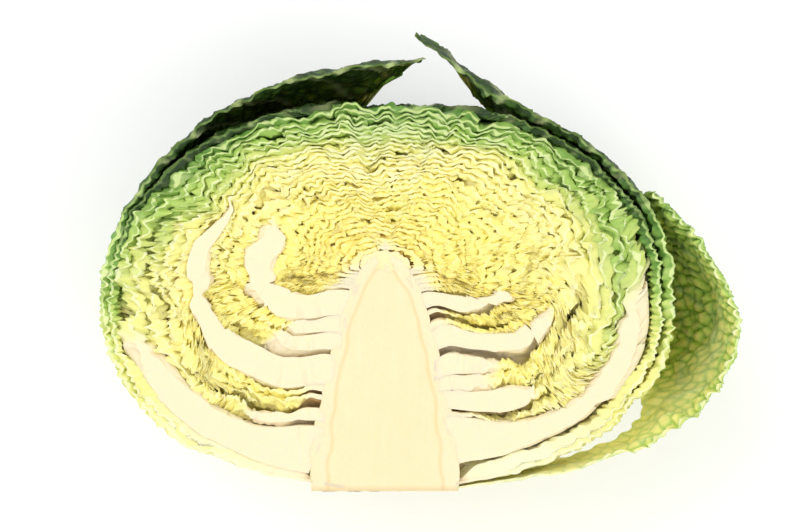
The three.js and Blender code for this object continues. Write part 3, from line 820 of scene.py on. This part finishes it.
def shape_leaf(n, al, ac, d, height):
    """Head leaf n in directions d: its two faces, how far it is off the stalk, and facts for its material."""
    leaf = HEAD[n]
    size = leaf.size
    depths = shell_depths(d)
    middles, slots, ribs, cover = head_stack(d, depths)
    mine, slot, rib = middles[n], slots[n], ribs[n]
    stout = smooth(rib, 0.8, 2.5)
    bare = stalk_gap(bent(shell_point(size_at(depths, mine), d)))

    # At the cut a stout rib keeps its own outline; further in it fills the room beside it.
    at_foot = 1 - smooth(bare, 3, 6 + 3 * size)
    own = stout * (1 - at_foot) * (1 - smooth(-height, 0.5, 2.2))
    lowest, highest = bounds_of(n, middles, slots, cover, depths[:, -1] + 0.3)
    lowest = lerp(lowest, mine - slot / 2, own)
    highest = lerp(highest, mine + slot / 2, own)

    # The blade sways in its room, and lies still where it is stiff.
    s, t = al * LEAF_RADIUS * size, ac * LEAF_RADIUS * size
    flat = np.stack([s, t], -1)
    vein = side_veins(s, t, 17 * size + 5)
    pitch = 2.5 + 2.6 * size
    sway = 0.75 * waves(flat, pitch, n + 40, 12) + 0.6 * waves(flat, pitch * 0.55, n + 140, 12)
    sway = np.clip(sway, -1, 1) * (1 - 0.5 * vein)
    room = np.maximum(slot - rib, 0.05)
    thin = np.minimum(0.5 + 0.3 * size + 0.8 * vein, 0.8 * room)
    calm = lerp(0.65, 1, smooth(size, 0.15, 0.5)) * (1 - 0.35 * smooth(al, rad(105), rad(150)))
    foot_fill = 1 - smooth(bare, 2 + 2 * size, 4 + 5 * size)
    shift = sway * room * SWAY * calm * (1 - stout) * (1 - foot_fill)
    mine = mine + shift

    # Stiff ribs keep their neighbours from crinkling.
    reach = np.abs(middles - middles[n])
    stiff = (ribs * np.exp(-((reach / 5.0) ** 2))).max(0)
    foot = stalk_gap(bent(shell_point(size_at(depths, mine), d)))
    strength = (1 - 0.9 * smooth(stiff, 1.0, 4.5)) * smooth(foot, 0, 9)

    def warped(depth):
        return crinkle(bent(shell_point(size_at(depths, depth), d)), strength)

    # Just below the cut the leaves lean on each other and close most of the gaps, but for a few pits.
    below = -warped(mine)[:, 2]
    pit = smooth(waves(flat, 6.0, n + 240, 10), 0.55, 0.95)
    closed = smooth(below, 0.05 + 0.2 * size, 0.75 + 0.9 * size) * (1 - pit)
    swelling = 1 - smooth(bare, 3 + 2 * size, 8 + 16 * size)
    full = np.max([0.94 * closed, foot_fill, at_foot, 0.85 * swelling], axis=0)
    edge = lerp(0.5, 1, smooth(leaf.inside(al, ac), rad(0.2), rad(4)))
    body = (rib + thin) * edge / 2
    inner = warped(lerp(mine - body, np.minimum(lowest + shift, mine - body), full))
    outer = warped(lerp(mine + body, np.maximum(highest + shift, mine + body), full))

    beside_stalk = 1 - smooth(bare, 2 + 2 * size, 4 + 9 * size)
    facts = {
        "green": np.clip(greenness(size, al), 0, 1),
        "rib": np.maximum(smooth(rib, 0.5, 1.8), 0.9 * beside_stalk),
        "vein": np.clip(vein, 0, 1) * smooth(size, 0.5, 1),
        "pale": (1 - smooth(al, rad(25), rad(70))) * smooth(size, 0.9, 1) * 0.5,
        # painted shade: brown on the leaf faces hidden in the slits at the leaf feet, below the cut
        "painted_slit_shade": (1 - smooth(foot, 3, 12)) * (1 - stout) * smooth(below, 0.5, 2),
    }
    return inner, outer, foot, facts


def grow_head_leaf(n):
    """The meshes of head leaf n, as points, faces and facts."""
    along, across, d = leaf_grid(HEAD[n])
    rough_height = DEPTH * HEAD[n].size * d[..., 2]
    solids = []
    for step, near, far in GRIDS:
        al, ac, dd, height = (g[::step, ::step] for g in (along, across, d, rough_height))
        kept = whole_quads((height < near) & (height > far))
        if not kept.any():
            continue
        need = corners_of(kept, height.shape)
        inner, outer, foot, values = shape_leaf(n, al[need], ac[need], dd[need], height[need])
        kept &= ~whole_quads(on_grid(need, foot < BURIED))
        if not kept.any():
            continue
        points, faces, used = closed_sheet(on_grid(need, inner), on_grid(need, outer), kept)
        facts = {key: np.tile(on_grid(need, value).ravel()[used], 2) for key, value in values.items()}
        solids.append((points, faces, facts))
    return solids


def join(solids):
    """The points, faces and facts of several meshes as those of one."""
    points, faces, facts, base = [], [], {}, 0
    for p, f, values in solids:
        points.append(p)
        faces.append(f + base)
        base += len(p)
        for key, value in values.items():
            facts.setdefault(key, []).append(value)
    return np.concatenate(points), np.concatenate(faces), {k: np.concatenate(v) for k, v in facts.items()}


for n, leaf in enumerate(HEAD):
    solids = grow_head_leaf(n) if leaf.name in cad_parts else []
    if solids:
        mesh = mesh_from(leaf.name, *join(solids))
        knife(mesh, 500 + n)
        piece(leaf.name, mesh, (FACE, CUT))


# ---- Outer leaves ----
GREEN_UP = rad([20, 45, 70, 95, 120, 140])  # how far up a leaf the greens below are
# The blister term in the greens below is painted shade in the blister valleys and a painted highlight on the
# blister tops.
OUTER_LOOK = SimpleNamespace(
    greens=[0.38, 0.47, 0.56, 0.68, 0.92, 1.0],
    blisters=1.4,
    contrast=0.14,
    thinnest=0.7,
    smooth_foot=60,
    rib=0.9,
    pale=0.7,
)
LOOSE_LOOK = SimpleNamespace(
    greens=[0.5, 0.57, 0.62, 0.67, 0.77, 0.86],
    blisters=2.8,
    contrast=0.3,
    thinnest=0.55,
    smooth_foot=34,
    rib=0.3,
    pale=0.3,
)
OUTER_RADIUS, LOOSE_RADIUS = 100, 112  # by which angles on these leaves become lengths
OUTER_FOOT, OUTER_MARGIN = rad(8), rad(0.3)
MOST_FILL, LEAST_FILL = 9.0, 1.7


def outwards_of(d):
    """The head's outline in directions d, and the way off it."""
    skin = shell_point(1.0, d)
    away = skin - np.array([0, WIDEST_HEIGHT, 0])
    return skin, away / np.linalg.norm(away, axis=-1)[..., None]


def room_inside(d, skin, out):
    """How far it is from the head's outline to its outermost leaf, with what the bend has opened there."""
    depths = shell_depths(d)
    middles, slots, _, cover = head_stack(d, depths)
    top = np.where(cover > 0.5, middles + slots / 2, 0).max(0)
    within = skin - 4 * out
    opened = -((bent(within) - within) * out).sum(-1)
    return np.clip(depths[:, -1] - top + opened + 0.5, 0, MOST_FILL)


def finish_leaf(leaf, number, look, al, ac, d, low, high, kept, rib, inside, radius, hugging):
    """Grows an outer leaf between the offsets low and high, with blisters, veins and a ruffled edge."""
    skin, out = outwards_of(d)
    s, t = al * radius, ac * radius
    flat = np.stack([s, t], -1)
    blister = 0.8 * cells(s + 1.5 * np.sin(t / 5), t + 1.2 * np.sin(s / 4), 5.2, 60 + number)
    blister = blister + 0.2 * cells(s, t + 1.5 * np.sin(s / 4), 3.1, 80 + number)
    vein = side_veins(s, t, 21)
    foot = stalk_gap(skin)
    rough = smooth(al, rad(18), rad(look.smooth_foot))
    sway = -look.blisters * (blister - 0.5) * (1 - smooth(rib, 0.05, 0.4)) * (1 - 0.8 * vein) * rough

    # Where the leaf lies on the head it is crumpled, and swells below the cut to meet it.
    hug = 1 - smooth(low - hugging, 0.5, 3)
    halfway_up = smooth(al, rad(20), rad(35)) * (1 - smooth(al, rad(95), rad(130)))
    crumple = 0.8 * hug * waves(flat, 4.8, 190 + number, 12) * halfway_up
    edge = 1 - smooth(inside, rad(0.5), rad(9))
    ruffle = edge * rough * (0.9 * waves(flat, 19, 90 + number) + 0.7 * waves(flat, 7, 95 + number))
    middle = (low + high) / 2 + sway + crumple + np.maximum(ruffle, -1.0)
    body = np.maximum(high - low - 0.1, look.thinnest) + 1.3 * vein * rough * (1 - edge)
    body = body * lerp(1, 0.5, edge)
    below = -(skin[:, 2] + out[:, 2] * middle)
    low_down = 1 - smooth(al, rad(48), rad(72))
    fill = np.maximum(LEAST_FILL, low_down * room_inside(d, skin, out))
    fill = fill * hug * smooth(below, 0.1, 1.4) * smooth(al, rad(12), rad(22))

    strength = smooth(foot, 1, 14) * (1 - 0.6 * smooth(rib, 0.2, 0.7)) * 0.45
    inner = crinkle(skin + out * (middle - body / 2 - fill)[:, None], strength)
    outer = crinkle(skin + out * (middle + body / 2)[:, None], strength)
    shape = (kept.shape[0] + 1, kept.shape[1] + 1, 3)
    points, faces, used = closed_sheet(inner.reshape(shape), outer.reshape(shape), kept)
    values = {
        # painted shade: the green is darker in the blister valleys, and lighter on the blister tops as a
        # painted highlight
        "green": np.interp(al, GREEN_UP, look.greens) - look.contrast * (blister - 0.6),
        "rib": smooth(rib, 0.1, 0.6) * look.rib,
        "vein": np.clip(vein * 1.1, 0, 1),
        "pale": (1 - smooth(al, rad(20), rad(52))) * look.pale,
        # painted shade: brown where the leaf's foot tucks against the stalk
        "painted_slit_shade": (1 - smooth(foot, 0, 3)) * 0.5,
    }
    mesh = mesh_from(leaf.name, points, faces, {key: np.tile(v[used], 2) for key, v in values.items()})
    knife(mesh, 700 + number)
    piece(leaf.name, mesh, (FACE, CUT))


def grow_outer_leaf(k):
    leaf = OUTER[k]
    cell = CELL * 1.75
    rows = int((leaf.tip - OUTER_FOOT) * OUTER_RADIUS / cell)
    columns = int(2 * leaf.spread * OUTER_RADIUS / cell)
    along = np.repeat(np.linspace(OUTER_FOOT, leaf.tip - OUTER_MARGIN, rows)[:, None], columns, 1)
    across = leaf.half_spread(along) * np.linspace(-1, 1, columns)[None, :]
    grid = leaf.direction(along, across)
    kept = whole_quads(grid[..., 2] < 0.10)
    al, ac, d = along.ravel(), across.ravel(), grid.reshape(-1, 3)
    low, high = outer_offsets(d)[0][k]
    rib, inside = leaf.rib_at(al, ac), leaf.inside(al, ac)
    hugging = 2.0 + 2.2 * k
    finish_leaf(leaf, k, OUTER_LOOK, al, ac, d, low, high, kept, rib, inside, OUTER_RADIUS, hugging)


for k in range(len(OUTER)):
    grow_outer_leaf(k)


def rounded(values, window):
    """Values smoothed over a window to either side."""
    kernel = np.hanning(2 * window + 1)
    kernel /= kernel.sum()
    return np.convolve(np.pad(values, window, mode="edge"), kernel, "valid")


LOOSE_MIDRIB = 12  # degrees round the back
LOOSE_TIP, LOOSE_FRONT = 121, -4.0  # degrees up, and degrees round in front of the cut, which the knife takes
LOOSE_NUMBER, LOOSE_THICKNESS, NOT_HUGGING = 9, 1.0, -9.0


def grow_loose_leaf():
    leaf = Leaf("outer_leaf_loose", LOOSE_MIDRIB, 122, 50, 1, 2.0)
    cell = CELL * 1.2
    rows = int(rad(106) * 118 / cell)
    columns = int(rad(66) * 118 / cell)
    up = np.linspace(LOOSE_LEAF[0, 0], LOOSE_LEAF[-1, 0], rows)
    margin = rounded(np.interp(up, LOOSE_LEAF[:, 0], LOOSE_LEAF[:, 1]), rows // 22)
    stand = rounded(np.interp(up, LOOSE_LEAF[:, 0], LOOSE_LEAF[:, 2]), rows // 22)
    margin = margin * np.sqrt(np.clip((LOOSE_TIP - up) / 7, 0.05, 1))
    around = LOOSE_FRONT + (margin[:, None] - LOOSE_FRONT) * np.linspace(0, 1, columns)[None, :]
    up = np.repeat(up[:, None], columns, 1)
    stand = np.repeat(stand[:, None], columns, 1)
    a, u = rad(around), rad(up)
    d = np.stack([np.cos(a) * np.sin(u), -np.cos(u), -np.sin(a) * np.sin(u)], -1).reshape(-1, 3)
    closing = np.interp(up, *LOOSE_CLOSING)
    off = stand * (1 - smooth(np.maximum(around, 0) / closing, 0, 1))
    low = outer_offsets(d)[1] + off.ravel()
    al = u.ravel()
    ac = (a - rad(LOOSE_MIDRIB)).ravel() * np.sin(al)
    inside = rad(margin[:, None] - around).ravel() * np.sin(al)
    kept = np.ones((rows - 1, columns - 1), bool)
    rib = leaf.rib_at(al, ac) * 0.8
    high = low + LOOSE_THICKNESS
    finish_leaf(
        leaf, LOOSE_NUMBER, LOOSE_LOOK, al, ac, d, low, high, kept, rib, inside, LOOSE_RADIUS, NOT_HUGGING
    )


grow_loose_leaf()


# ---- Stalk ----
PITH_HEIGHTS = [0, 8, 33, 47, 62, 72, 78, 82]
PITH_HALF_WIDTHS = [21, 20.5, 18, 15.2, 11.9, 8, 4.3, 2]
STALK_ROWS, STALK_COLUMNS, STALK_TURNS = ((220, 121, 61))
END_RINGS, END_RADIUS, END_BUNDLE = 24, 26.5, 21.3
ROUND_TOP = 14.0  # the stalk's tip is rounded over this height
BACK_STEP = 0.45  # its round back starts this far below the cut face


def grid_quads(rows, columns, base, flip):
    i, j = np.meshgrid(np.arange(rows - 1), np.arange(columns - 1), indexing="ij")
    a = (i * columns + j).ravel() + base
    quads = np.stack([a, a + 1, a + 1 + columns, a + columns], 1)
    return quads[:, ::-1] if flip else quads


def stalk_half_widths(y):
    width = rounded(np.interp(y, STALK_PROFILE[:, 1], STALK_PROFILE[:, 0]), len(y) // 30)
    tip = ROUND_TOP * np.sqrt(np.clip((STALK_HEIGHT - y) / ROUND_TOP, 0, 1))
    width = np.where(y > 76, np.minimum(width, tip), width)
    return width + 0.5 * waves(y[:, None], 11, 71) * smooth(y, 4, 16) * (1 - smooth(y, 70, 80))


def stalk_cut_face(y, width):
    """The cut face as a grid of its own, so that its relief is real."""
    share = np.linspace(-1, 1, STALK_COLUMNS)
    x = width[:, None] * share[None, :]
    height = np.repeat(y[:, None], STALK_COLUMNS, 1)
    flat = np.stack([x, height], -1)
    pith_edge = np.interp(height, PITH_HEIGHTS, PITH_HALF_WIDTHS)
    off_edge = np.abs(x) - pith_edge - 0.5 * waves(flat, 14, 5)
    bundle = np.exp(-((off_edge / 0.7) ** 2)) * (height < 82)
    z = 0.12 * waves(flat, 12, 3) + 0.05 * waves(flat, 3.0, 4) - 0.12 * bundle
    z -= 0.1 * smooth(np.abs(share)[None, :] + 0 * x, 0.93, 1.0)
    facts = {
        "pith": (np.abs(x) < pith_edge).astype(float),
        "bundle": 0.4 * bundle,
        "skin": 0 * x,
        "dry": 0.5 * (1 - smooth(height, 0, 2.5)),
    }
    return np.stack([x, height, z], -1), facts


def stalk_back(y, width, front):
    angle = np.linspace(0, math.pi, STALK_TURNS)
    around = np.stack([y[:, None] + 0 * angle, 20 * angle + 0 * y[:, None]], -1)
    radius = width[:, None] * (1 + 0.02 * waves(around, 9, 8))
    height = np.repeat(y[:, None], STALK_TURNS, 1)
    z = -np.abs(radius) * np.sin(angle) - BACK_STEP
    back = np.stack([radius * np.cos(angle), height, z], -1)
    back[:, 0] = front[:, -1]
    back[:, -1] = front[:, 0]
    blank = np.zeros(height.shape)
    return back, {"pith": blank, "bundle": blank, "skin": blank + 0.8, "dry": blank}


def stalk_cut_end(rim):
    """The cut end at the foot: rings of points from the middle of the half disc out to its rim."""
    ring = np.linspace(0, 1, END_RINGS)[:, None]
    end = np.stack([ring * rim[:, 0], 0 * ring * rim[:, 0], ring * rim[:, 2]], -1)
    reach = ring * END_RADIUS + 0 * rim[:, 0]
    flat = end[..., [0, 2]]
    spot = waves(flat, 2.4, 15)
    end[..., 1] = 0.25 * waves(flat, 7, 14) + 0.12 * spot
    end[-1, :, 1] = 0
    tube = np.exp(-(((reach - END_BUNDLE) / 1.4) ** 2)) * (0.45 + 0.55 * spot)
    facts = {
        "pith": (reach < 21).astype(float),
        "bundle": np.clip(tube, 0, 0.8),
        "skin": smooth(reach, 25, 26.4) * 0.7,
        "dry": 0.35 + 0.3 * smooth(reach, 8, 26),
    }
    return end, facts


def grow_stalk():
    y = np.linspace(0, STALK_HEIGHT, STALK_ROWS)
    width = stalk_half_widths(y)
    front, front_facts = stalk_cut_face(y, width)
    back, back_facts = stalk_back(y, width, front)
    end, end_facts = stalk_cut_end(back[0])
    grids = [(front, front_facts, False), (back, back_facts, False), (end, end_facts, True)]
    points = np.concatenate([grid.reshape(-1, 3) for grid, _, _ in grids])
    facts = {key: np.concatenate([values[key].ravel() for _, values, _ in grids]) for key in front_facts}
    faces = []
    base = 0
    for grid, _, flip in grids:
        rows, columns = grid.shape[:2]
        faces.append(grid_quads(rows, columns, base, flip))
        base += rows * columns
    mesh = mesh_from("stalk", points, np.concatenate(faces), facts)
    bm = bmesh.new()
    bm.from_mesh(mesh)
    bmesh.ops.remove_doubles(bm, verts=bm.verts[:], dist=0.01)
    bmesh.ops.recalc_face_normals(bm, faces=bm.faces[:])
    bm.to_mesh(mesh)
    bm.free()
    piece("stalk", mesh, (PITH,))


grow_stalk()


# ---- Bud ----
def grow_bud():
    bm = bmesh.new()
    bmesh.ops.create_icosphere(bm, subdivisions=5, radius=1.0)
    points = np.array([v.co[:] for v in bm.verts])
    d = points / np.linalg.norm(points, axis=1)[:, None]
    p = shell_point(BUD_SHARE * 0.95, d)
    p = p + d * (0.5 * waves(p, 3.2, 61) + 0.3 * waves(p, 1.6, 62))[:, None]
    for v, q in zip(bm.verts, p):
        v.co = q
    mesh = bpy.data.meshes.new("bud")
    bm.to_mesh(mesh)
    bm.free()
    for key, value in {"green": 0.05, "rib": 0.5, "vein": 0.0, "pale": 0.0, "painted_slit_shade": 0.0}.items():
        attribute = mesh.attributes.new(key, "FLOAT", "POINT")
        attribute.data.foreach_set("value", np.full(len(mesh.vertices), value, np.float32))
    knife(mesh, 801)
    piece("bud", mesh, (FACE, CUT))


grow_bud()

# ---- Floor ----
FLOOR_HALF = 4  # metres
FLOOR_TINTS = [(0.0, (0.97, 0.975, 0.97, 1)), (1.0, (0.985, 0.99, 0.985, 1))]
floor = Nodes("floor")
floor.put(floor.shader, "Roughness", 0.9)
floor.put(floor.shader, "Base Color", floor.ramp(floor.noise(3.0, 2.0), FLOOR_TINTS))
ground = bpy.data.meshes.new("ground")
corners = [(x * FLOOR_HALF, y * FLOOR_HALF, 0) for x, y in ((-1, -1), (1, -1), (1, 1), (-1, 1))]
ground.from_pydata(corners, [], [(0, 1, 2, 3)])
ground.materials.append(floor.material)
ground_object = bpy.data.objects.new("ground", ground)
scene.collection.objects.link(ground_object)
